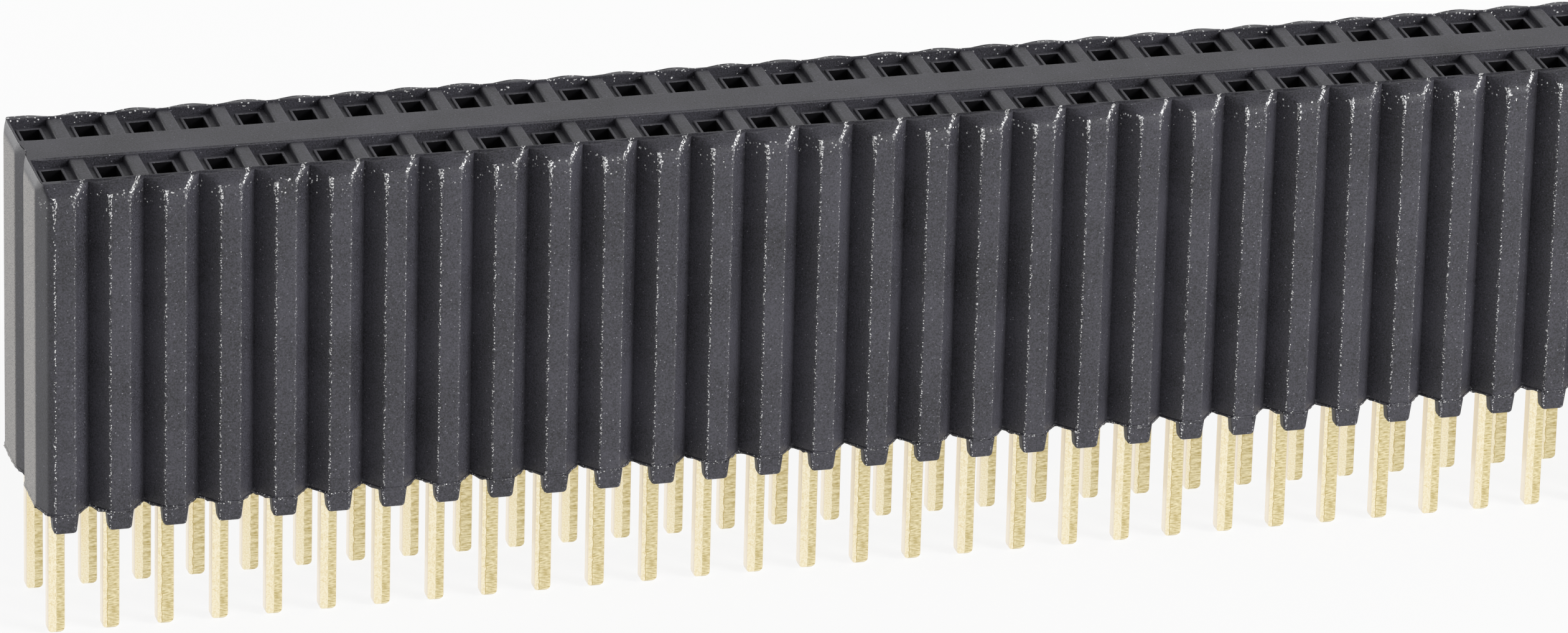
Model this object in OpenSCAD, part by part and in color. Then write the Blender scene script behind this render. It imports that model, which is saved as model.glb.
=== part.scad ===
// Female pin header strip: two rows of sockets on a 1.27 x 2.54 mm grid.
// One moulded housing holds a gold plated fork contact in every chamber.
// X runs along the strip, Y across it, Z up. Z = 0 is the plane of the tail
// tips, and X = Y = 0 is the middle of the strip.

/* [Grid] */
// Contact positions along the strip, each with one front and one back contact
positions = 40; // [4:1:50]
// Distance between neighbouring contacts along the strip
pitch = 1.27; // [1.2:0.01:1.5]
// Distance between the two rows
row_pitch = 2.54; // [2.45:0.01:2.7]

/* [Housing] */
// Width over the flats of the ribs
housing_w = 5.0; // [4.8:0.02:5.6]
// Height of the moulded body, from its underside to its top
housing_h = 7.98; // [7:0.02:9]
// From the centre of the last contact to the end face
end_reach = 0.56; // [0.5:0.01:0.8]
// Width of the flat on the outside of each rib
rib_flat = 0.46; // [0.4:0.01:0.6]
// Width of the floor of the groove between two ribs
groove_floor = 0.05; // [0.03:0.01:0.2]
// Depth of the groove between two ribs
groove_depth = 0.47; // [0.2:0.01:0.5]
// Width of the slope along the top edge of both sides
rim_slope_w = 0.36; // [0.1:0.01:0.4]
// Height of that slope
rim_slope_h = 0.25; // [0.1:0.01:0.4]

/* [End faces] */
// Half width of the shallow notch down the middle of each end
notch_half = 0.55; // [0.3:0.01:0.8]
// Depth of that notch
notch_depth = 0.15; // [0.05:0.01:0.2]
// From the middle of the strip to where the end face turns towards the side
end_face_half = 1.78; // [1.4:0.01:2]
// How far the turned face runs in, along the strip
corner_lean = 0.19; // [0.05:0.01:0.22]
// Small break between the turned face and the flat of the last rib
corner_break = 0.08; // [0.02:0.01:0.15]
// Width of the slope along the top edge of each end
end_slope_w = 0.08; // [0.02:0.01:0.12]
// Height of that slope
end_slope_h = 0.24; // [0.1:0.01:0.4]

/* [Top] */
// Width of the flat bar between the two rows
bar_w = 1.2; // [1:0.02:1.4]
// Wall between neighbouring pockets
cross_rib_w = 0.36; // [0.2:0.01:0.45]
// How far these walls stay below the bar and the rim
cross_rib_drop = 0.05; // [0.01:0.01:0.1]
// Width of the flat rim outside the pockets
rim_w = 0.18; // [0.15:0.01:0.28]
// Wall between the last pockets and the end face
end_wall = 0.15; // [0.13:0.01:0.22]
// Depth of the pockets
pocket_depth = 0.22; // [0.15:0.01:0.3]
// Height of the collar round each entry, above the pocket's floor
collar_h = 0.06; // [0.03:0.01:0.12]
// Wall thickness of the collar
collar_wall = 0.07; // [0.04:0.01:0.08]
// Entry hole along the strip
entry_x = 0.46; // [0.44:0.01:0.6]
// Entry hole across the strip
entry_y = 0.74; // [0.6:0.01:0.8]
// Depth of the entry hole, from the collar's top down to the chamber
entry_depth = 0.45; // [0.3:0.01:0.8]

/* [Standoffs] */
// Height of the feet under the ribs
foot_h = 0.44; // [0.3:0.01:0.7]
// Width of a foot where it joins the body
foot_top_w = 0.61; // [0.4:0.01:0.8]
// Width of a foot at its sole
foot_sole_w = 0.54; // [0.3:0.01:0.6]
// Depth of a foot across the strip
foot_d = 0.32; // [0.25:0.01:0.6]
// Radius of the lower corners of a foot
foot_r = 0.08; // [0.02:0.01:0.12]
// How far the root of a foot reaches up into the body
foot_root = 0.02; // [0.01:0.01:0.05]

/* [Contacts] */
// Length of a tail below the soles of the feet
tail_reach = 2.95; // [2:0.05:6]
// Thickness of the strip that the contacts are cut from, along X
stock_t = 0.4; // [0.3:0.01:0.42]
// Width of a tail, along Y
tail_w = 0.3; // [0.2:0.01:0.5]
// Radius of the tail's tip
tip_r = 0.14; // [0.05:0.01:0.14]
// Half width of the ears that hold the contact in the housing
ear_half = 0.58; // [0.55:0.01:0.62]
// Height of the ears
ear_h = 1.0; // [0.7:0.02:1.4]
// From the underside of the body up to the lower edge of the ears
ear_start = 0.2; // [0.05:0.01:0.4]
// How far each barb stands out from its ear
barb = 0.02; // [0.01:0.005:0.025]
// Half width over the outside of the two tines
tine_half = 0.42; // [0.38:0.01:0.44]
// Half gap between the tines where they grip
grip_half = 0.15; // [0.08:0.01:0.18]
// Half gap between the tines below the grip
slit_half = 0.2; // [0.18:0.01:0.25]
// From the tips of the tines down to the grip
lead_h = 0.45; // [0.3:0.01:0.7]
// Height of the grip
grip_h = 0.35; // [0.2:0.01:0.6]

/* [Fits] */
// Gap between the ears and the walls of their slot
ear_gap = 0.03; // [0.03:0.005:0.05]
// Gap on both flat sides of a contact in its slot
side_gap = 0.02; // [0.01:0.005:0.04]
// Room on both flat sides of the tines in the chamber
tine_side_gap = 0.07; // [0.04:0.01:0.1]
// Room outside each tine, so that it can spread
spread_gap = 0.08; // [0.05:0.01:0.09]
// Room above the tips of the tines
tip_gap = 0.15; // [0.05:0.01:0.4]

/* [Hidden] */
rib_slope = (pitch - rib_flat - groove_floor) / 2;
strip_half = (positions - 1) * pitch / 2 + end_reach;

sole_z = tail_reach;
under_z = sole_z + foot_h;
top_z = under_z + housing_h;
floor_z = top_z - pocket_depth;
collar_z = floor_z + collar_h;
chamber_z = collar_z - entry_depth;

pocket_x = pitch - cross_rib_w;
pocket_in = bar_w / 2;
pocket_out = housing_w / 2 - rim_slope_w - rim_w;

ear_z = under_z + ear_start;
ledge_z = ear_z + ear_h;
tine_z = chamber_z - tip_gap;
grip_z = tine_z - lead_h;

cut = 0.5;

function pair_name(i) = str("contact_pair_", i < 9 ? "0" : "", i + 1);
function column_x(i) = (i - (positions - 1) / 2) * pitch;
function reversed(points) = [for (i = [len(points) - 1 : -1 : 0]) points[i]];
function inner(points) = [for (i = [1 : len(points) - 2]) points[i]];
function flip_x(points) = [for (p = reversed(points)) [-p.x, p.y]];
function flip_y(points) = [for (p = reversed(points)) [p.x, -p.y]];
function arc(x, y, r, from, to, steps = 3) =
    [for (k = [0 : steps]) let (a = from + (to - from) * k / steps) [x + r * cos(a), y + r * sin(a)]];

// The two slopes and the flat of one rib on the front, from left to right
function rib(x) = [
    [x - rib_flat / 2 - rib_slope, groove_depth - housing_w / 2],
    [x - rib_flat / 2, -housing_w / 2],
    [x + rib_flat / 2, -housing_w / 2],
    [x + rib_flat / 2 + rib_slope, groove_depth - housing_w / 2]
];
function all_ribs() = [for (i = [0 : positions - 1]) each rib(column_x(i))];

// Left end of the front side, from the notch round to the last rib
function end_corner() = [
    [-strip_half, -notch_half],
    [-strip_half, -end_face_half],
    [-strip_half + corner_lean, corner_break - housing_w / 2]
];
function front_side() = concat(end_corner(), inner(all_ribs()), flip_x(end_corner()));
function plan() = concat(
    front_side(), [[strip_half - notch_depth, 0]],
    flip_y(front_side()), [[notch_depth - strip_half, 0]]
);

// A rectangle whose two upper corners are cut by a slope
function sloped_box(half, slope_w, slope_h) = [
    [-half, under_z], [half, under_z], [half, top_z - slope_h],
    [half - slope_w, top_z], [slope_w - half, top_z], [-half, top_z - slope_h]
];

// Draws a profile in the YZ plane and runs it along X, centred
module along_x(length) {
    rotate([90, 0, 90]) linear_extrude(length, center = true) children();
}

// Draws a profile in the XZ plane and runs it along Y, centred
module along_y(length) {
    rotate([90, 0, 0]) linear_extrude(length, center = true) children();
}

// A block that is centred on X = Y = 0 and runs from one height to another
module block(x, y, z0, z1) {
    translate([-x / 2, -y / 2, z0]) cube([x, y, z1 - z0]);
}

module each_socket() {
    for (i = [0 : positions - 1]) for (side = [-1, 1])
        translate([column_x(i), side * row_pitch / 2, 0]) children();
}

// The ribbed block with the slopes along its top edges
module ribbed_block() {
    intersection() {
        translate([0, 0, under_z]) linear_extrude(housing_h) polygon(plan());
        along_x(2 * strip_half) polygon(sloped_box(housing_w / 2, rim_slope_w, rim_slope_h));
        along_y(housing_w) polygon(sloped_box(strip_half, end_slope_w, end_slope_h));
    }
}

// The shallow pockets beside the bar, and the step above the walls between them
module pockets() {
    pocket_y = pocket_out - pocket_in;
    for (side = [-1, 1]) translate([0, side * (pocket_in + pocket_out) / 2, 0]) {
        intersection() {
            for (i = [0 : positions - 1]) translate([column_x(i), 0, 0])
                block(pocket_x, pocket_y, floor_z, top_z + cut);
            block(2 * (strip_half - end_wall), pocket_y, floor_z, top_z + cut);
        }
        block((positions - 1) * pitch, pocket_y, top_z - cross_rib_drop, top_z + cut);
    }
}

// The collar that stands round an entry
module collar() {
    block(entry_x + 2 * collar_wall, entry_y + 2 * collar_wall, floor_z, collar_z);
}

// Entry, chamber and the slot for the ears, one above the other
module socket_bore() {
    block(entry_x, entry_y, chamber_z, collar_z + cut);
    block(stock_t + 2 * tine_side_gap, 2 * (tine_half + spread_gap), ledge_z, chamber_z);
    block(stock_t + 2 * side_gap, 2 * (ear_half + ear_gap), under_z - cut, ledge_z);
}

// A foot, drawn from its rounded sole up to its root in the body
module foot() {
    sole = arc(foot_sole_w / 2 - foot_r, sole_z + foot_r, foot_r, -90, 0);
    side = concat(sole, [[foot_top_w / 2, under_z], [foot_top_w / 2, under_z + foot_root]]);
    along_y(foot_d) polygon(concat(side, flip_x(side)));
}

module housing() {
    color([0.2, 0.2, 0.22]) union() {
        difference() {
            ribbed_block();
            difference() {
                pockets();
                each_socket() collar();
            }
            each_socket() socket_bore();
        }
        for (i = [0 : positions - 1]) for (side = [-1, 1])
            translate([column_x(i), side * (housing_w - foot_d) / 2, 0]) foot();
    }
}

// Right half of the flat fork blank, from the tail's tip up to the tine and
// down the inside of the slit
function barbs() = [for (k = [1, 2]) each [
    [ear_half, ear_z + k * ear_h / 3],
    [ear_half + barb, ear_z + k * ear_h / 3],
    [ear_half, ear_z + (k + 0.7) * ear_h / 3]
]];
function fork_side() = concat(
    arc(tail_w / 2 - tip_r, tip_r, tip_r, -90, 0),
    [[tail_w / 2, ear_z], [ear_half, ear_z]],
    barbs(),
    [
        [ear_half, ledge_z],
        [tine_half, ledge_z],
        [tine_half, tine_z],
        [entry_y / 2, tine_z],
        [grip_half, grip_z],
        [grip_half, grip_z - grip_h],
        [slit_half, grip_z - 2 * grip_h],
        [slit_half, ledge_z + slit_half],
        [slit_half / 2, ledge_z]
    ]
);

// One contact: a fork cut from flat strip, its tip rounded across the cut too
module contact() {
    tip = arc(stock_t / 2 - tip_r, tip_r, tip_r, -90, 0);
    side = concat(tip, [[stock_t / 2, tine_z]]);
    intersection() {
        along_x(stock_t) polygon(concat(fork_side(), flip_x(fork_side())));
        along_y(2 * (ear_half + barb)) polygon(concat(side, flip_x(side)));
    }
}

// The front and the back contact of one position
module contact_pair(i) {
    color([0.87, 0.77, 0.5])
        for (side = [-1, 1]) translate([column_x(i), side * row_pitch / 2, 0]) contact();
}

housing();
for (i = [0 : positions - 1])
    contact_pair(i);
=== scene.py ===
import math
import random

import bmesh
import bpy
from mathutils import Matrix, Vector


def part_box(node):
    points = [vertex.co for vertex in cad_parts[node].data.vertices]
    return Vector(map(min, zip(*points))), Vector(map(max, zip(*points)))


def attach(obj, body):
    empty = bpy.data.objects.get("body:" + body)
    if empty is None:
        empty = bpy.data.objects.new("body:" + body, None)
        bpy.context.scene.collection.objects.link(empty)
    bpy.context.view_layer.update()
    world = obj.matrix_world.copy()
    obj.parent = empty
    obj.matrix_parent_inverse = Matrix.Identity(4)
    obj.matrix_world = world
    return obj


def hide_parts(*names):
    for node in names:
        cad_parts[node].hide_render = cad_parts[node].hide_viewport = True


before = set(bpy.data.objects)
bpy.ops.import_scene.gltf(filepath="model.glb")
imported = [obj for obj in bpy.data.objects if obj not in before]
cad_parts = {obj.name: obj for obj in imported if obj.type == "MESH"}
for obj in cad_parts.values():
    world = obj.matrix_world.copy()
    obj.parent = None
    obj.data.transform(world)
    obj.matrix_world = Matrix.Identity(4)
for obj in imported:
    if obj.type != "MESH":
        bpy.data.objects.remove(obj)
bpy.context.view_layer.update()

# Housing: one long block with a rib beside every contact, two rows of square entries in its top and a
# foot under every rib. It is moulded in one shot from black glass-filled nylon, so its outer corners are
# a little rounded. Painted glints: white dots in its colour stand for the light that its corners catch.
MM = 0.001

# Sizes of the solid
row_y = 1.27 * MM
rib_flat = 0.46 * MM
groove_depth = 0.47 * MM
groove_floor = 0.05 * MM
rim_w = 0.18 * MM
rim_slope_w = 0.36 * MM
rim_slope_h = 0.25 * MM
end_slope_w = 0.08 * MM
cross_rib_drop = 0.05 * MM
collar_drop = 0.16 * MM
foot_h = 0.44 * MM
foot_root = 0.02 * MM
hole_half_l = 0.3 * MM
hole_half_w = 0.62 * MM
hole_start = 0.23 * MM

# Rounding of the corners
body_corner_r = 0.04 * MM
pocket_corner_r = 0.02 * MM
collar_corner_r = 0.015 * MM
cross_rib_corner_r = 0.06 * MM
rib_corner_r = 0.07 * MM
break_corner_r = 0.2 * MM
end_corner_r = 0.3 * MM
rim_lower_r = 0.34 * MM
rim_upper_r = 0.08 * MM

# Soft form of the sides
arch_soft = 0.16 * MM
arch_spread = 0.29 * MM
rim_dip = 0.06 * MM
rim_inset = 0.03 * MM
end_inset_share = 0.8
rim_below = 0.8 * MM
rim_beyond = 0.1 * MM
first_rows = (0.03 * MM, 0.1 * MM)
longest_step = 0.1 * MM

# Flash
flash_seed = 11
flash_reach = 0.035 * MM
flash_hang = 0.11 * MM
flash_least = 0.3
flash_waist = 0.2
flash_tip_in = 0.03 * MM
flash_root_out = 0.002 * MM
flash_root_in = 0.05 * MM
flash_root_high = 0.05 * MM
flash_root_low = 0.02 * MM

# Bands and angles by which the faces and edges are told apart
weld = 0.0001 * MM
touch = 0.001 * MM
slack = 0.01 * MM
side_from = 1 * MM
side_slack = 0.03 * MM
end_face_band = 0.12 * MM
end_edge_band = 0.14 * MM
end_rim_band = 0.2 * MM
chamber_end = 0.35 * MM
chamber_below = 0.1 * MM
flat_angle = math.radians(1)
turn_angle = math.radians(2)
crease_angle = math.radians(8)
corner_angle = math.radians(28)
sharp_angle = 1.2 * corner_angle
upright_from = 0.99
level_from = 0.95

# Look of the nylon
nylon_black = "#111015"
nylon_pale = "#45444D"
nylon_glint = "#FFFFFF"
nylon_painted_shade = "#060607"
nylon_dust = "#8A8A92"
nylon_roughness = 0.52
nylon_ior = 1.58
nylon_bloom = 0.05
nylon_bloom_roughness = 0.35
inside_roughness = 0.85
inside_gloss = 0.12
grain_mm = 0.035
grain_low = 0.78
grain_high = 1.16
grain_strength = 0.6
grain_height_mm = 0.007
cloud_mm = 1.6
cloud_share = 0.4
sawn_and_lit_grey = "#ADA9A5"
sawn_mm = 0.03
sawn_low = 0.3
sawn_high = 0.55
sawn_depth_mm = 0.02
sawn_edge_mm = 0.003

# Painted glints, dust, and the painted shade line on the lip. An end, or the lip's from, is a share of the
# way up the slope of the rim.
rim_y_mm = 1.97
back_rim_y_mm = 1.955
glint_mm = 0.04
glint_dot_low = 0.4
glint_dot_high = 0.6
glint_dimmest = 0.35
glint_stray_mm = 0.05
glint_wave_mm = 0.12
glint_depth_mm = 0.6
line_low = 0.8
line_high = 1.0
line_half_low_mm = 0.02
line_half_high_mm = 0.05
left_end_low = 0.02
left_end_high = 0.12
right_end = 0.15
faint_line_share = 0.35
faint_line_glow = 0.45
faint_line_end = 0.05
arch_share = 0.75
sprinkle_share = 0.06
sprinkle_end = 0.35
back_rim_share = 0.09
flash_half_mm = 0.04
flash_share = 0.3
dust_mm = 0.05
dust_dot_low = 0.1
dust_dot_high = 0.34
dusty_share = 0.08
lip_y_mm = 1.965
lip_half_mm = 0.018
lip_wave_mm = 0.15
lip_gap_low = 0.42
lip_gap_high = 0.52
lip_from = 0.6
lip_shade_depth = 0.75


def colour(hex_code):
    """The linear colour of an sRGB hex code."""
    parts = [int(hex_code[k:k + 2], 16) / 255 for k in (1, 3, 5)]
    return (*[p / 12.92 if p <= 0.04045 else ((p + 0.055) / 1.055) ** 2.4 for p in parts], 1.0)


def add(tree, kind, inputs=None, **settings):
    """Adds a node. Each of its inputs gets a value, or the node or socket that feeds it."""
    made = tree.nodes.new(kind)
    for name, value in settings.items():
        setattr(made, name, value)
    for name, value in (inputs or {}).items():
        if isinstance(value, bpy.types.Node):
            value = next(socket for socket in value.outputs if socket.enabled)
        if isinstance(value, bpy.types.NodeSocket):
            tree.links.new(value, made.inputs[name])
        else:
            made.inputs[name].default_value = value
    return made


def new_material(name):
    """An empty material, with its node tree and its shader."""
    material = bpy.data.materials.new(name)
    material.use_nodes = True
    return material, material.node_tree, material.node_tree.nodes["Principled BSDF"]


def plain_mesh(node, planes=(), flat=False):
    """The form of a CAD node in large flat faces, with its creases marked.

    Each plane is a point and a normal. Faces end there, so that none of them runs round a hole."""
    bm = bmesh.new()
    bm.from_mesh(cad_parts[node].data)
    bmesh.ops.remove_doubles(bm, verts=bm.verts, dist=weld)
    for point, across in planes:
        parts = [*bm.verts, *bm.edges, *bm.faces]
        split = bmesh.ops.bisect_plane(bm, geom=parts, dist=weld, plane_co=point, plane_no=across)
        for part in split["geom_cut"]:
            if isinstance(part, bmesh.types.BMEdge):
                part.seam = True
    bmesh.ops.dissolve_limit(
        bm, angle_limit=flat_angle, verts=bm.verts, edges=bm.edges, delimit={"SEAM"})
    bm.faces.layers.float.new("corner")
    for edge in bm.edges:
        bend = edge.calc_face_angle(0)
        upright = abs((edge.verts[0].co - edge.verts[1].co).normalized().z) > upright_from
        edge.smooth = bend < crease_angle or (bend < sharp_angle and not upright)
    for face in bm.faces:
        face.smooth = not flat
    return bm


def ease(bm, radius, steps, chosen):
    """Rounds the outer corners that chosen picks. The face attribute corner is 1 on the rounding."""
    layer = bm.faces.layers.float["corner"]
    sharp = [edge for edge in bm.edges
             if edge.is_manifold and edge.is_convex and edge.calc_face_angle() > corner_angle
             and not any(face[layer] for face in edge.link_faces) and chosen(edge)]
    rounding = bmesh.ops.bevel(
        bm, geom=sharp, offset=radius, offset_type="OFFSET", segments=steps, profile=0.5,
        affect="EDGES", clamp_overlap=False)
    for face in rounding["faces"]:
        face[layer] = 1.0
        face.smooth = True
        for edge in face.edges:
            edge.smooth = True


def finished_piece(name, bm, material):
    """Makes the object of a piece, with even shading on its flats."""
    mesh = bpy.data.meshes.new(name)
    bm.to_mesh(mesh)
    bm.free()
    if "custom_normal" in mesh.attributes:
        mesh.attributes.remove(mesh.attributes["custom_normal"])
    mesh.materials.clear()
    mesh.materials.append(material)
    piece = bpy.data.objects.new(name, mesh)
    bpy.context.scene.collection.objects.link(piece)
    weighted = piece.modifiers.new("even_flats", "WEIGHTED_NORMAL")
    weighted.keep_sharp = True
    return piece


# Glass-filled nylon, moulded: a matt charcoal skin with a fine grain, faint clouds and pale specks. Painted
# glints: white dots in the base colour stand for light caught by short glass fibres along the corners, most
# near the top and on the corners that face the left, and along the rim at the back. They are drawn as dots
# of about
# 0.04 mm, coarser than real ones, so that they show. Painted shade: a broken dark line runs along the inner
# edge of the front rim. The ends are scuffed grey and painted lighter, partly as painted light where it
# grazes them.
def glass_filled_nylon(top, under, first, pitch, end_x):
    material, tree, shader = new_material("glass_filled_nylon_moulded")
    place = add(tree, "ShaderNodeTexCoord").outputs["Object"]
    where = add(tree, "ShaderNodeSeparateXYZ", {"Vector": place})
    x, y, z = [where.outputs[name] for name in ("X", "Y", "Z")]
    slope_low = top - rim_slope_h

    # Skin with grain and clouds
    grain = add(tree, "ShaderNodeTexNoise", {"Vector": place, "Scale": 1 / (grain_mm * MM), "Detail": 3.0})
    clouds = add(tree, "ShaderNodeTexNoise", {"Vector": place, "Scale": 1 / (cloud_mm * MM), "Detail": 4.0})
    faint_clouds = add(tree, "ShaderNodeMath", {
        0: clouds, 1: cloud_share, 2: (1 - cloud_share) / 2}, operation="MULTIPLY_ADD")
    mottle = add(tree, "ShaderNodeMath", {0: faint_clouds, 1: grain}, operation="ADD")
    paleness = add(tree, "ShaderNodeMapRange", {
        "Value": mottle, "From Min": grain_low, "From Max": grain_high})
    skin = add(tree, "ShaderNodeMix", {
        "Factor": paleness, "A": colour(nylon_black), "B": colour(nylon_pale)}, data_type="RGBA")

    # Place outside the pockets, across each rib and up the slope of the rim
    out_y = add(tree, "ShaderNodeMath", {0: y}, operation="ABSOLUTE")
    outer = add(tree, "ShaderNodeMath", {0: out_y, 1: rim_y_mm * MM}, operation="GREATER_THAN")
    from_first = add(tree, "ShaderNodeMath", {0: x, 1: first - pitch / 2}, operation="SUBTRACT")
    repeated = add(tree, "ShaderNodeMath", {0: from_first, 1: pitch}, operation="FLOORED_MODULO")
    across = add(tree, "ShaderNodeMath", {0: repeated, 1: pitch / 2}, operation="SUBTRACT")
    on_right = add(tree, "ShaderNodeMath", {0: across, 1: 0.0}, operation="GREATER_THAN")
    arch = add(tree, "ShaderNodeMapRange", {"Value": z, "From Min": slope_low, "From Max": top})
    upper = add(tree, "ShaderNodeMapRange", {
        "Value": z, "From Min": slope_low - glint_depth_mm * MM, "From Max": slope_low})
    waves = add(tree, "ShaderNodeTexNoise", {"Vector": place, "Scale": 1 / (glint_wave_mm * MM)})
    stray = add(tree, "ShaderNodeMapRange", {
        "Value": waves, "To Min": -glint_stray_mm * MM, "To Max": glint_stray_mm * MM})

    # Painted glints along the two edges of each rib
    edge_x = add(tree, "ShaderNodeMapRange", {
        "Value": arch, "To Min": rib_flat / 2, "To Max": rib_flat / 2 + arch_spread})
    beside = add(tree, "ShaderNodeMath", {0: across}, operation="ABSOLUTE")
    past_edge = add(tree, "ShaderNodeMath", {0: beside, 1: edge_x}, operation="SUBTRACT")
    past_line = add(tree, "ShaderNodeMath", {0: past_edge, 1: stray}, operation="ADD")
    from_line = add(tree, "ShaderNodeMath", {0: past_line}, operation="ABSOLUTE")
    half = add(tree, "ShaderNodeMapRange", {
        "Value": upper, "To Min": line_half_low_mm * MM, "To Max": line_half_high_mm * MM})
    on_edge = add(tree, "ShaderNodeMath", {0: from_line, 1: half}, operation="LESS_THAN")
    dense = add(tree, "ShaderNodeMapRange", {"Value": upper, "To Min": line_low, "To Max": line_high})
    ending = add(tree, "ShaderNodeMapRange", {
        "Value": arch, "From Min": left_end_low, "From Max": left_end_high, "To Min": 1.0, "To Max": 0.0})
    left_share = add(tree, "ShaderNodeMath", {0: dense, 1: ending}, operation="MULTIPLY")
    right_share = add(tree, "ShaderNodeMapRange", {
        "Value": arch, "From Max": right_end, "To Min": faint_line_share, "To Max": arch_share})
    line_share = add(tree, "ShaderNodeMix", {
        "Factor": on_right, "A": left_share, "B": right_share}, data_type="FLOAT")
    on_line = add(tree, "ShaderNodeMath", {0: on_edge, 1: line_share}, operation="MULTIPLY")

    # Painted glints below the rim, on the flash and on the rim at the back
    thinning = add(tree, "ShaderNodeMapRange", {
        "Value": arch, "From Max": sprinkle_end, "To Min": sprinkle_share, "To Max": 0.0})
    sprinkled = add(tree, "ShaderNodeMath", {0: upper, 1: thinning}, operation="MULTIPLY")
    above = add(tree, "ShaderNodeMath", {0: z, 1: under}, operation="SUBTRACT")
    above_flash = add(tree, "ShaderNodeMath", {0: above, 1: stray}, operation="ADD")
    from_flash = add(tree, "ShaderNodeMath", {0: above_flash}, operation="ABSOLUTE")
    on_flash = add(tree, "ShaderNodeMath", {0: from_flash, 1: flash_half_mm * MM}, operation="LESS_THAN")
    flashed = add(tree, "ShaderNodeMath", {0: on_flash, 1: flash_share}, operation="MULTIPLY")
    sparse = add(tree, "ShaderNodeMath", {0: flashed, 1: sprinkled}, operation="MAXIMUM")
    either = add(tree, "ShaderNodeMath", {0: on_line, 1: sparse}, operation="MAXIMUM")
    outer_share = add(tree, "ShaderNodeMath", {0: either, 1: outer}, operation="MULTIPLY")
    at_back = add(tree, "ShaderNodeMath", {0: y, 1: back_rim_y_mm * MM}, operation="GREATER_THAN")
    up_the_back = add(tree, "ShaderNodeMath", {0: at_back, 1: arch}, operation="MULTIPLY")
    back_share = add(tree, "ShaderNodeMapRange", {"Value": up_the_back, "To Max": back_rim_share})
    share = add(tree, "ShaderNodeMath", {0: outer_share, 1: back_share}, operation="MAXIMUM")

    # The painted glint dots themselves, white in the base colour
    glass = add(tree, "ShaderNodeTexVoronoi", {"Vector": place, "Scale": 1 / (glint_mm * MM)})
    chance = add(tree, "ShaderNodeSeparateColor", {"Color": glass.outputs["Color"]})
    glint_picked = add(tree, "ShaderNodeMath", {0: share, 1: chance.outputs["Red"]}, operation="GREATER_THAN")
    dot_size = add(tree, "ShaderNodeMapRange", {
        "Value": upper, "To Min": glint_dot_low, "To Max": glint_dot_high})
    dot = add(tree, "ShaderNodeMath", {0: glass.outputs["Distance"], 1: dot_size}, operation="LESS_THAN")
    glinted_dot = add(tree, "ShaderNodeMath", {0: glint_picked, 1: dot}, operation="MULTIPLY")
    own_glow = add(tree, "ShaderNodeMapRange", {"Value": chance.outputs["Green"], "To Min": glint_dimmest})
    glowing = add(tree, "ShaderNodeMath", {0: glinted_dot, 1: own_glow}, operation="MULTIPLY")
    below_arch = add(tree, "ShaderNodeMath", {0: arch, 1: faint_line_end}, operation="LESS_THAN")
    on_faint_line = add(tree, "ShaderNodeMath", {0: on_right, 1: below_arch}, operation="MULTIPLY")
    line_glow = add(tree, "ShaderNodeMapRange", {
        "Value": on_faint_line, "To Min": 1.0, "To Max": faint_line_glow})
    bright = add(tree, "ShaderNodeMath", {0: glowing, 1: line_glow}, operation="MULTIPLY")
    with_glints = add(tree, "ShaderNodeMix", {
        "Factor": bright, "A": skin, "B": colour(nylon_glint)}, data_type="RGBA")

    # Specks of dust
    dust = add(tree, "ShaderNodeTexVoronoi", {"Vector": place, "Scale": 1 / (dust_mm * MM)})
    pick = add(tree, "ShaderNodeSeparateColor", {"Color": dust.outputs["Color"]})
    speck_size = add(tree, "ShaderNodeMapRange", {
        "Value": pick.outputs["Red"], "To Min": dust_dot_low, "To Max": dust_dot_high})
    small = add(tree, "ShaderNodeMath", {0: dust.outputs["Distance"], 1: speck_size}, operation="LESS_THAN")
    few = add(tree, "ShaderNodeMath", {0: pick.outputs["Green"], 1: dusty_share}, operation="LESS_THAN")
    speck = add(tree, "ShaderNodeMath", {0: small, 1: few}, operation="MULTIPLY")
    faint = add(tree, "ShaderNodeMath", {0: speck, 1: pick.outputs["Blue"]}, operation="MULTIPLY")
    dusty = add(tree, "ShaderNodeMix", {
        "Factor": faint, "A": with_glints, "B": colour(nylon_dust)}, data_type="RGBA")

    # Painted shade: a broken dark line on the inner edge of the front rim
    past_lip = add(tree, "ShaderNodeMath", {0: y, 1: lip_y_mm * MM}, operation="ADD")
    from_lip = add(tree, "ShaderNodeMath", {0: past_lip}, operation="ABSOLUTE")
    near_lip = add(tree, "ShaderNodeMath", {0: from_lip, 1: lip_half_mm * MM}, operation="LESS_THAN")
    on_top = add(tree, "ShaderNodeMath", {0: arch, 1: lip_from}, operation="GREATER_THAN")
    on_lip = add(tree, "ShaderNodeMath", {0: near_lip, 1: on_top}, operation="MULTIPLY")
    gaps = add(tree, "ShaderNodeTexNoise", {"Vector": place, "Scale": 1 / (lip_wave_mm * MM), "Detail": 3.0})
    broken = add(tree, "ShaderNodeMapRange", {
        "Value": gaps, "From Min": lip_gap_low, "From Max": lip_gap_high, "To Max": lip_shade_depth})
    dark = add(tree, "ShaderNodeMath", {0: on_lip, 1: broken}, operation="MULTIPLY")
    lip_shaded = add(tree, "ShaderNodeMix", {
        "Factor": dark, "A": dusty, "B": colour(nylon_painted_shade)}, data_type="RGBA")

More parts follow.
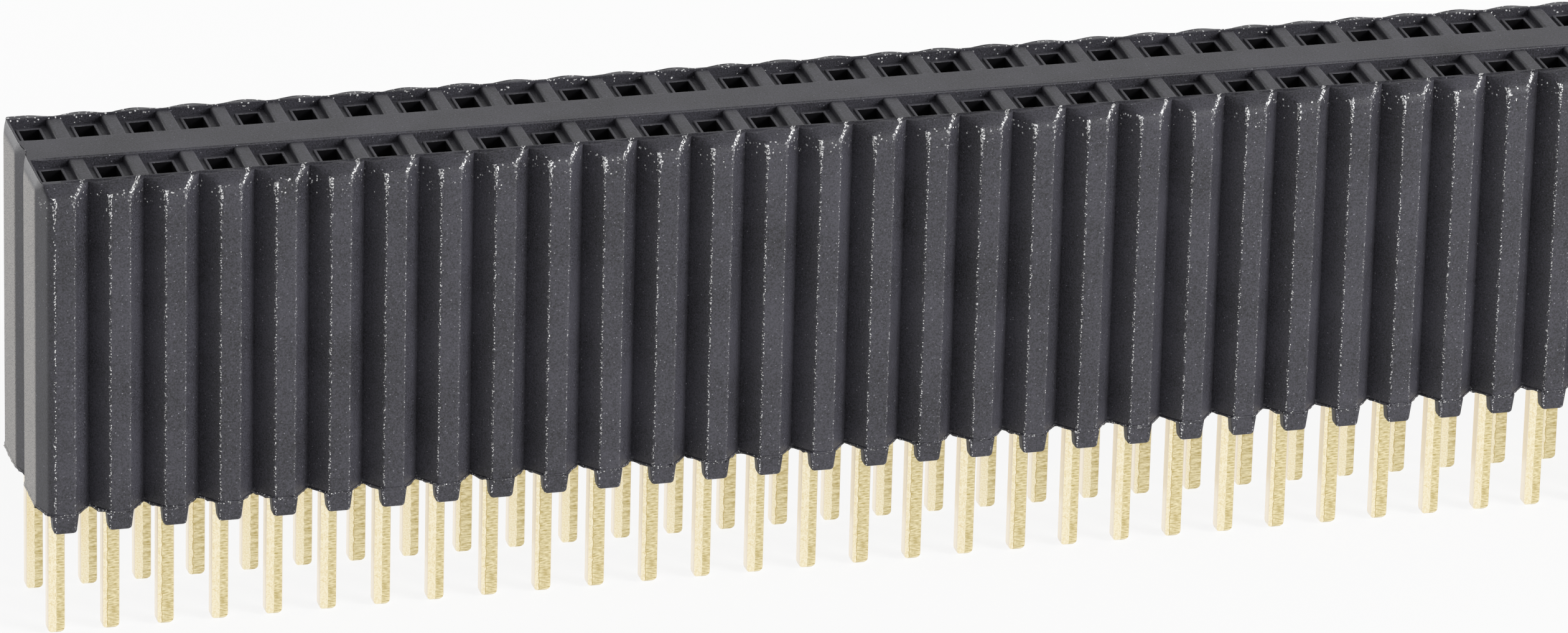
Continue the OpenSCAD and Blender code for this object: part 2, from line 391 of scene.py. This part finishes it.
    # Scuffed ends, partly painted light: the end faces are painted a lighter grey for the light that grazes
    # them
    scuff = add(tree, "ShaderNodeTexNoise", {"Vector": place, "Scale": 1 / (sawn_mm * MM), "Detail": 2.0})
    scuffed = add(tree, "ShaderNodeMapRange", {
        "Value": scuff, "From Min": sawn_low, "From Max": sawn_high})
    sawn_and_lit_skin = add(tree, "ShaderNodeMix", {
        "Factor": scuffed, "A": lip_shaded, "B": colour(sawn_and_lit_grey)}, data_type="RGBA")
    out_x = add(tree, "ShaderNodeMath", {0: x}, operation="ABSOLUTE")
    at_end = add(tree, "ShaderNodeMapRange", {
        "Value": out_x, "From Min": end_x - sawn_depth_mm * MM, "From Max": end_x - sawn_edge_mm * MM})
    whole = add(tree, "ShaderNodeMix", {"Factor": at_end, "A": lip_shaded, "B": sawn_and_lit_skin}, data_type="RGBA")

    bump = add(tree, "ShaderNodeBump", {
        "Height": grain.outputs["Fac"], "Strength": grain_strength, "Distance": grain_height_mm * MM})
    tree.links.new(whole.outputs["Result"], shader.inputs["Base Color"])
    tree.links.new(bump.outputs["Normal"], shader.inputs["Normal"])
    shader.inputs["Roughness"].default_value = nylon_roughness
    shader.inputs["IOR"].default_value = nylon_ior
    shader.inputs["Sheen Weight"].default_value = nylon_bloom
    shader.inputs["Sheen Roughness"].default_value = nylon_bloom_roughness
    return material


# Painted shade: the same nylon inside the chambers, painted near black and given little gloss, for the shade
# where hardly any light gets in.
def nylon_painted_dark():
    material, tree, shader = new_material("nylon_inside_painted_shade")
    place = add(tree, "ShaderNodeTexCoord").outputs["Object"]
    grain = add(tree, "ShaderNodeTexNoise", {"Vector": place, "Scale": 1 / (grain_mm * MM), "Detail": 3.0})
    skin = add(tree, "ShaderNodeMix", {
        "Factor": grain, "A": colour(nylon_painted_shade), "B": colour(nylon_black)}, data_type="RGBA")
    tree.links.new(skin.outputs["Result"], shader.inputs["Base Color"])
    shader.inputs["Roughness"].default_value = inside_roughness
    shader.inputs["IOR"].default_value = nylon_ior
    shader.inputs["Specular IOR Level"].default_value = inside_gloss
    return material


pairs = sorted(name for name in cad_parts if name.startswith("contact_pair_"))
columns = [sum(corner[0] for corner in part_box(name)) / 2 for name in pairs]
pitch = columns[1] - columns[0]
last_x = columns[-1]
low_corner, high_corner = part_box("housing")
half_long, half_wide, top = high_corner
under = low_corner[2] + foot_h
foot_line = under + foot_root
pocket_out = half_wide - rim_slope_w - rim_w
valley_deeper = 0.5 * groove_floor * groove_depth / ((pitch - rib_flat - groove_floor) / 2)


def level(edge, height):
    return all(abs(vert.co.z - height) < touch for vert in edge.verts)


def is_collar(edge):
    return level(edge, top - collar_drop)


def is_cross_rib(edge):
    along_y = abs(edge.verts[0].co.x - edge.verts[1].co.x) < touch
    return level(edge, top - cross_rib_drop) and along_y


def is_hidden(edge):
    middle = (edge.verts[0].co + edge.verts[1].co) / 2
    inside = abs(abs(middle.y) - row_y) < hole_half_w and abs(middle.x) < last_x + chamber_end
    return inside and under - chamber_below < middle.z < top - collar_drop - slack


def is_pocket_rim(edge):
    return level(edge, top) and all(
        abs(abs(vert.co.y) - pocket_out) < 2 * touch or abs(vert.co.x) > last_x + hole_half_l
        for vert in edge.verts)


def is_outer(edge):
    return any(
        vert.co.z > under - 5 * touch and (
            abs(vert.co.y) > pocket_out + slack or abs(vert.co.x) > half_long - end_edge_band)
        for vert in edge.verts)


def is_foot(edge):
    return all(vert.co.z < foot_line + touch for vert in edge.verts) and any(
        vert.co.z < under - slack for vert in edge.verts)


def is_plain(edge):
    return not (is_collar(edge) or is_cross_rib(edge) or is_hidden(edge) or is_outer(edge)
                or is_pocket_rim(edge) or is_foot(edge))


def is_side(face):
    middle = face.calc_center_median()
    outside = (abs(middle.y) > half_wide - groove_depth - side_slack
               or abs(middle.x) > half_long - end_face_band)
    return abs(face.normal.z) < level_from and outside and all(
        vert.co.z > foot_line - touch for vert in face.verts)


def rings(bm):
    """The rings of edges with a face on one side only. Each runs anticlockwise, seen from above."""
    loose = {edge.index: edge for edge in bm.edges if edge.is_boundary}
    found = []
    while loose:
        _, edge = loose.popitem()
        ring = [edge.verts[0], edge.verts[1]]
        while ring[-1] is not ring[0]:
            edge = next(e for e in ring[-1].link_edges if e.index in loose)
            loose.pop(edge.index)
            ring.append(edge.other_vert(ring[-1]))
        ring.pop()
        area = sum(a.co.x * b.co.y - b.co.x * a.co.y for a, b in zip(ring, ring[1:] + ring[:1]))
        if area < 0:
            ring.reverse()
        start = min(range(len(ring)), key=lambda k: (round(ring[k].co.x, 7), round(ring[k].co.y, 7)))
        found.append(ring[start:] + ring[:start])
    return found


def corners_of(ring):
    """The places in a ring where it turns, as points in the plane with the turn, left turns above 0."""
    found = []
    for before, here, after in zip(ring[-1:] + ring[:-1], ring, ring[1:] + ring[:1]):
        came, goes = (here.co - before.co).xy, (after.co - here.co).xy
        turn = -came.angle_signed(goes)
        if abs(turn) > turn_angle:
            found.append((here.co.xy, turn))
    return found


def rounded(corners, closed, steps=4):
    """A path through corners, which are places with a radius. A corner of radius 0 stays sharp."""
    path = []
    for k, (place, radius) in enumerate(corners):
        if radius == 0 or (not closed and k in (0, len(corners) - 1)):
            path.append(place)
            continue
        before = (corners[k - 1][0] - place).normalized()
        after = (corners[(k + 1) % len(corners)][0] - place).normalized()
        reach = radius * math.tan((math.pi - before.angle(after)) / 2)
        start, end = place + before * reach, place + after * reach
        for step in range(steps + 1):
            t = step / steps
            path.append(start.lerp(place, t).lerp(place.lerp(end, t), t))
    return path


def spaced(path, longest):
    """The closed path with more points, so that no step is longer than longest."""
    found = []
    for here, after in zip(path, path[1:] + path[:1]):
        count = max(1, math.ceil((after - here).length / longest - 0.01))
        found += [here.lerp(after, k / count) for k in range(count)]
    return found


def held_in(value, limit, soft):
    """The smaller of a size and its limit, with a soft change from the one to the other."""
    near = max(soft - abs(value - limit), 0.0)
    return min(value, limit) - near * near / (4 * soft)


def dip_at(x, z):
    """How far the rim hangs between two ribs, as in the wavy edge of the real one."""
    if abs(x) > last_x:
        return 0.0
    high = min(max((z - top + 2 * rim_slope_h) / (2 * rim_slope_h), 0.0), 1.0)
    return rim_dip * (0.5 - 0.5 * math.cos(2 * math.pi * (x - columns[0]) / pitch)) * high * high


def zip_rings(bm, lower, upper):
    """Joins two rings, the second above or inside the first, by a band of triangles."""
    nearest = min(range(len(upper)), key=lambda k: (upper[k].co - lower[0].co).length)
    upper = upper[nearest:] + upper[:nearest]
    i = j = 0
    while i < len(lower) or j < len(upper):
        low, high = lower[i % len(lower)], upper[j % len(upper)]
        next_low, next_high = lower[(i + 1) % len(lower)], upper[(j + 1) % len(upper)]
        if j == len(upper) or (
                i < len(lower) and (next_low.co - high.co).length < (next_high.co - low.co).length):
            face = bm.faces.new((low, next_low, high))
            i += 1
        else:
            face = bm.faces.new((low, next_high, high))
            j += 1
        face.smooth = True


def add_flash(bm, outline):
    """Adds the flash: the thin ragged fin that the joint of the mould leaves round the underside."""
    ragged = random.Random(flash_seed)
    hangs = [ragged.random() ** 2 for _ in outline]
    rows = [[], [], [], []]
    for k, place in enumerate(outline):
        along = (outline[(k + 1) % len(outline)] - outline[k - 1]).normalized()
        out = Vector((along.y, -along.x))
        hang = flash_hang * (hangs[k - 1] + 2 * hangs[k]) / 3
        stands = flash_least + (1 - flash_least) * ragged.random()
        profile = ((flash_root_out, flash_root_high), (stands * flash_reach, -flash_waist * hang),
                   (-flash_tip_in, -hang), (-flash_root_in, flash_root_low))
        for row, (reach, z) in zip(rows, profile):
            row.append(bm.verts.new((*(place + out * reach), under + z)))
    for row, below in zip(rows, rows[1:] + rows[:1]):
        for k, _ in enumerate(row):
            m = (k + 1) % len(row)
            bm.faces.new((row[k], below[k], below[m], row[m])).smooth = True


def side_plan(ring):
    """The outline of the sides: the corners of a ring, each with its radius, and 0 in the valleys."""
    plan = []
    for place, turn in corners_of(ring):
        radius = 0
        on_long_side = abs(place.y) > side_from
        if turn < 0 and on_long_side:
            place = place + Vector((0, -math.copysign(valley_deeper, place.y)))
            if plan and plan[-1][1] == 0 and abs(plan[-1][0].y - place.y) < touch:
                plan[-1] = ((place + plan[-1][0]) / 2, radius)
                continue
        elif on_long_side and abs(place.x) > half_long - slack:
            radius = end_corner_r
        elif on_long_side:
            radius = break_corner_r if abs(place.x) > last_x + rib_flat / 2 - slack else rib_corner_r
        plan.append((place, radius))
    return plan


def soften_sides(bm):
    """Puts soft sides in place of the flat ones: rounded ribs and grooves, which run out in the rim."""
    bmesh.ops.delete(bm, geom=[face for face in bm.faces if is_side(face)], context="FACES")
    bm.edges.index_update()
    lower, upper = sorted(rings(bm), key=lambda ring: ring[0].co.z)
    plan = side_plan(lower)
    outline = spaced(rounded(plan, True), longest_step)
    valleys = [place for place, radius in plan if radius == 0]
    rim = rounded([(Vector((0, top - rim_below)), 0), (Vector((0, top - rim_slope_h)), rim_lower_r),
                   (Vector((rim_slope_w, top)), rim_upper_r), (Vector((rim_slope_w + rim_beyond, top)), 0)],
                  False, 6)[:-1]
    rows = []
    for inset, z in [(0.0, foot_line + rise) for rise in first_rows] + [tuple(place) for place in rim]:
        end_inset = inset * end_slope_w / rim_slope_w
        row = []
        for place in outline:
            x, y = abs(place.x), abs(place.y)
            if inset > 0:
                y = held_in(y, half_wide - inset, min(arch_soft, 2 * inset))
                x = held_in(x, half_long - end_inset, min(arch_soft, 2 * end_inset))
            row.append(bm.verts.new((
                math.copysign(x, place.x), math.copysign(y, place.y), z - dip_at(place.x, z))))
        rows.append(row)
    for lower_row, upper_row in zip(rows, rows[1:]):
        for k, _ in enumerate(lower_row):
            m = (k + 1) % len(lower_row)
            bm.faces.new((lower_row[k], lower_row[m], upper_row[m], upper_row[k])).smooth = True
        for k, place in enumerate(outline):
            if any((place - valley).length < touch for valley in valleys):
                bm.edges.get((lower_row[k], upper_row[k])).smooth = False
    for vert in upper:
        x, y = abs(vert.co.x), abs(vert.co.y)
        if y > pocket_out + 2 * slack:
            vert.co.y = math.copysign(y - rim_inset, vert.co.y)
        if x > half_long - end_rim_band:
            vert.co.x = math.copysign(x - rim_inset * end_inset_share, vert.co.x)
        vert.co.z -= dip_at(vert.co.x, top)
    zip_rings(bm, lower, rows[0])
    zip_rings(bm, rows[-1], upper)
    add_flash(bm, outline)
    bm.normal_update()


planes = [((x, 0, 0), (1, 0, 0)) for column in columns for x in (column, column + pitch / 2)]
planes += [((0, y, 0), (0, 1, 0)) for y in (-row_y, 0, row_y)]
planes += [((0, 0, foot_line), (0, 0, 1))]
block = plain_mesh("housing", planes, flat=True)
soften_sides(block)
ease(block, cross_rib_corner_r, 4, is_cross_rib)
ease(block, collar_corner_r, 2, is_collar)
ease(block, pocket_corner_r, 2, is_pocket_rim)
ease(block, body_corner_r, 3, is_plain)
ease(block, body_corner_r, 3, is_foot)
housing = finished_piece(
    "moulded_housing", block, glass_filled_nylon(top, under, columns[0], pitch, half_long))
# The second slot holds the painted-shade nylon, which the faces inside the entries get.
housing.data.materials.append(nylon_painted_dark())
for face in housing.data.polygons:
    middle = face.center
    beside = (middle.x - columns[0] + pitch / 2) % pitch - pitch / 2
    in_hole = abs(beside) < hole_half_l and abs(abs(middle.y) - row_y) < hole_half_w
    face.material_index = int(in_hole and under < middle.z < top - hole_start)
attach(housing, "root")
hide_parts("housing")

# Contacts: each is a fork stamped from bronze strip and gold plated all over, pushed up into its chamber
# from below. The front of a tail is the cut edge of the strip: the punch leaves a smooth burnished zone
# on one side and a torn zone with short cross lines on the other.
contact_corner_r = 0.028 * MM
stamping_seed = 7

# Look of the gold
gold_rolled = "#F8EEDC"
gold_burnished = "#FFF6DC"
gold_burnished_dark = "#EEDDAE"
gold_torn = "#F6EBC6"
gold_torn_dark = "#C4B070"
gold_line = "#CDB77A"
burnished_roughness = 0.28
torn_roughness = 0.42
satin_mm = 0.035
satin_low = 0.4
satin_high = 0.75
torn_line_mm = 0.034
torn_width_mm = 0.13
torn_low = 0.35
torn_high = 0.7
torn_strength = 0.5
torn_height_mm = 0.008
even_split_mm = 0.0
early_split_mm = -0.085
early_from = 0.5
split_wander_mm = 0.035
split_wave_mm = 0.12
line_half_mm = 0.008
rolled_from = 0.5


# Gold plate on stamped bronze: bright and pale where the strip was rolled or burnished, darker and lined
# where the metal tore.
def gold_plate():
    material, tree, shader = new_material("gold_plate_stamped")
    place = add(tree, "ShaderNodeTexCoord").outputs["Object"]
    across = add(tree, "ShaderNodeSeparateXYZ", {"Vector": place}).outputs["X"]

    # The burnished zone is satin, and the torn zone has short cross lines
    satin = add(tree, "ShaderNodeTexNoise", {"Vector": place, "Scale": 1 / (satin_mm * MM), "Detail": 2.0})
    dull = add(tree, "ShaderNodeMapRange", {"Value": satin, "From Min": satin_low, "From Max": satin_high})
    burnished = add(tree, "ShaderNodeMix", {
        "Factor": dull, "A": colour(gold_burnished), "B": colour(gold_burnished_dark)}, data_type="RGBA")
    per_size = [1 / (size_mm * MM) for size_mm in (torn_width_mm, torn_width_mm, torn_line_mm)]
    stretched = add(tree, "ShaderNodeVectorMath", {0: place, 1: per_size}, operation="MULTIPLY")
    lines = add(tree, "ShaderNodeTexNoise", {"Vector": stretched, "Scale": 1.0, "Detail": 4.0})
    deep = add(tree, "ShaderNodeMapRange", {"Value": lines, "From Min": torn_low, "From Max": torn_high})
    torn = add(tree, "ShaderNodeMix", {
        "Factor": deep, "A": colour(gold_torn), "B": colour(gold_torn_dark)}, data_type="RGBA")

    # The ragged split between the zones, which begins early on some tails, with a thin line
    batch = add(tree, "ShaderNodeAttribute", attribute_name="batch").outputs["Fac"]
    early = add(tree, "ShaderNodeMath", {0: batch, 1: early_from}, operation="GREATER_THAN")
    split = add(tree, "ShaderNodeMapRange", {
        "Value": early, "To Min": even_split_mm * MM, "To Max": early_split_mm * MM})
    waves = add(tree, "ShaderNodeTexNoise", {
        "Vector": place, "Scale": 1 / (split_wave_mm * MM), "Detail": 3.0})
    wander = add(tree, "ShaderNodeMapRange", {
        "Value": waves, "To Min": -split_wander_mm * MM, "To Max": split_wander_mm * MM})
    past_split = add(tree, "ShaderNodeMath", {0: across, 1: split}, operation="SUBTRACT")
    past_edge = add(tree, "ShaderNodeMath", {0: past_split, 1: wander}, operation="ADD")
    beyond = add(tree, "ShaderNodeMath", {0: past_edge, 1: 0.0}, operation="GREATER_THAN")
    cut = add(tree, "ShaderNodeMix", {"Factor": beyond, "A": burnished, "B": torn}, data_type="RGBA")
    from_edge = add(tree, "ShaderNodeMath", {0: past_edge}, operation="ABSOLUTE")
    near = add(tree, "ShaderNodeMath", {0: from_edge, 1: line_half_mm * MM}, operation="LESS_THAN")
    on_line = add(tree, "ShaderNodeMath", {0: near, 1: early}, operation="MULTIPLY")
    lined = add(tree, "ShaderNodeMix", {
        "Factor": on_line, "A": cut, "B": colour(gold_line)}, data_type="RGBA")

    # The rolled faces of the strip
    normal = add(tree, "ShaderNodeNewGeometry").outputs["Normal"]
    sideways = add(tree, "ShaderNodeSeparateXYZ", {"Vector": normal}).outputs["X"]
    turned = add(tree, "ShaderNodeMath", {0: sideways}, operation="ABSOLUTE")
    rolled = add(tree, "ShaderNodeMath", {0: turned, 1: rolled_from}, operation="GREATER_THAN")
    full = add(tree, "ShaderNodeMix", {
        "Factor": rolled, "A": lined, "B": colour(gold_rolled)}, data_type="RGBA")
    rough = add(tree, "ShaderNodeMapRange", {
        "Value": beyond, "To Min": burnished_roughness, "To Max": torn_roughness})
    torn_lines = add(tree, "ShaderNodeMath", {0: lines, 1: beyond}, operation="MULTIPLY")
    bump = add(tree, "ShaderNodeBump", {
        "Height": torn_lines, "Strength": torn_strength, "Distance": torn_height_mm * MM})
    tree.links.new(full.outputs["Result"], shader.inputs["Base Color"])
    tree.links.new(rough.outputs[0], shader.inputs["Roughness"])
    tree.links.new(bump.outputs["Normal"], shader.inputs["Normal"])
    shader.inputs["Metallic"].default_value = 1.0
    return material


gold = gold_plate()
stamping = random.Random(stamping_seed)
for node, column in zip(pairs, columns):
    bm = plain_mesh(node)
    ease(bm, contact_corner_r, 2, lambda edge: True)
    batch = bm.faces.layers.float.new("batch")
    of_row = {False: stamping.random(), True: stamping.random()}
    for face in bm.faces:
        face[batch] = of_row[face.calc_center_median().y > 0]
    bmesh.ops.translate(bm, verts=bm.verts, vec=(-column, 0, 0))
    pair = finished_piece("stamped_" + node, bm, gold)
    pair.location.x = column
    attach(pair, "root")
    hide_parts(node)

# Table: a plain white surface under the tail tips. The camera and mirrors see it close to pure white,
# and it keeps a soft shadow of the strip.
table_size = 4.0
table_white = "#FFFFFF"
shadow_share = 0.12


def table_paint():
    material = bpy.data.materials.new("white_table")
    material.use_nodes = True
    tree = material.node_tree
    tree.nodes.remove(tree.nodes["Principled BSDF"])
    ray = add(tree, "ShaderNodeLightPath")
    seen = add(tree, "ShaderNodeMath", {
        0: ray.outputs["Is Camera Ray"], 1: ray.outputs["Is Glossy Ray"]}, operation="MAXIMUM")
    white = add(tree, "ShaderNodeMath", {0: seen, 1: 1 - shadow_share}, operation="MULTIPLY")
    lit = add(tree, "ShaderNodeBsdfDiffuse", {"Color": colour(table_white)})
    glow = add(tree, "ShaderNodeEmission", {"Strength": 1.0})
    blend = add(tree, "ShaderNodeMixShader", {"Fac": white, 1: lit, 2: glow})
    tree.links.new(blend.outputs[0], tree.nodes["Material Output"].inputs["Surface"])
    return material


bm = bmesh.new()
bmesh.ops.create_grid(bm, x_segments=1, y_segments=1, size=table_size / 2)
table_mesh = bpy.data.meshes.new("table")
bm.to_mesh(table_mesh)
bm.free()
table_mesh.materials.append(table_paint())
table = bpy.data.objects.new("table", table_mesh)
bpy.context.scene.collection.objects.link(table)

# Light: a white room that is bright all round and dim overhead and at the front left, a broad soft lamp at
# the front right, and one behind the left end that grazes the end face.
round_level = 0.95
overhead_level = 0.5
round_until = 0.15
overhead_from = 0.8
front_left_share = 0.2
front_left_until = -1.2
full_from = -0.2


def room():
    world = bpy.data.worlds.new("white_room")
    world.use_nodes = True
    tree = world.node_tree
    seen = add(tree, "ShaderNodeLightPath").outputs["Is Camera Ray"]
    generated = add(tree, "ShaderNodeTexCoord").outputs["Generated"]
    way = add(tree, "ShaderNodeSeparateXYZ", {"Vector": generated})
    by_height = add(tree, "ShaderNodeMapRange", {
        "Value": way.outputs["Z"], "From Min": round_until, "From Max": overhead_from,
        "To Min": round_level, "To Max": overhead_level})
    to_back_right = add(tree, "ShaderNodeMath", {0: way.outputs["X"], 1: way.outputs["Y"]}, operation="ADD")
    by_side = add(tree, "ShaderNodeMapRange", {
        "Value": to_back_right, "From Min": front_left_until, "From Max": full_from,
        "To Min": front_left_share, "To Max": 1.0})
    level = add(tree, "ShaderNodeMath", {0: by_height, 1: by_side}, operation="MULTIPLY")
    strength = add(tree, "ShaderNodeMath", {0: level, 1: seen}, operation="MAXIMUM")
    tree.nodes["Background"].inputs["Color"].default_value = (1, 1, 1, 1)
    tree.links.new(strength.outputs[0], tree.nodes["Background"].inputs["Strength"])
    return world


def soft_lamp(name, place_mm, size_mm, watts):
    """A square lamp that looks at the middle of the strip."""
    data = bpy.data.lights.new(name, "AREA")
    data.size = size_mm * MM
    data.energy = watts
    lamp = bpy.data.objects.new(name, data)
    lamp.location = Vector(place_mm) * MM
    lamp.rotation_euler = (-lamp.location).to_track_quat("-Z", "Y").to_euler()
    bpy.context.scene.collection.objects.link(lamp)


bpy.context.scene.world = room()
soft_lamp("key_lamp", place_mm=(260, -220, 150), size_mm=160, watts=1.1)
soft_lamp("end_lamp", place_mm=(-160, 240, 8), size_mm=60, watts=0.3)

# Camera: a long lens to the left of the strip and above it, tilted a little, so that the strip runs up to
# the right and its far end leaves the picture.
aim_mm = (-8.006, -2.5, 6.884)
distance_mm = 240.63
azimuth = math.radians(-15.60)
elevation = math.radians(22.39)
roll = math.radians(1.47)
focal_mm = 241.14

back = Vector((math.sin(azimuth) * math.cos(elevation), -math.cos(azimuth) * math.cos(elevation),
               math.sin(elevation)))
view = bpy.data.cameras.new("view")
view.lens = focal_mm
view.sensor_width = 36.0
view.sensor_fit = "HORIZONTAL"
view.clip_start = 0.01
view.clip_end = 100.0
camera = bpy.data.objects.new("view", view)
camera.rotation_mode = "QUATERNION"
camera.location = (Vector(aim_mm) + back * distance_mm) * MM
rolled_back = Matrix.Rotation(roll, 4, back)
camera.rotation_quaternion = rolled_back.to_quaternion() @ back.to_track_quat("Z", "Y")
bpy.context.scene.collection.objects.link(camera)
bpy.context.scene.camera = camera
bpy.context.scene.view_settings.view_transform = "Standard"
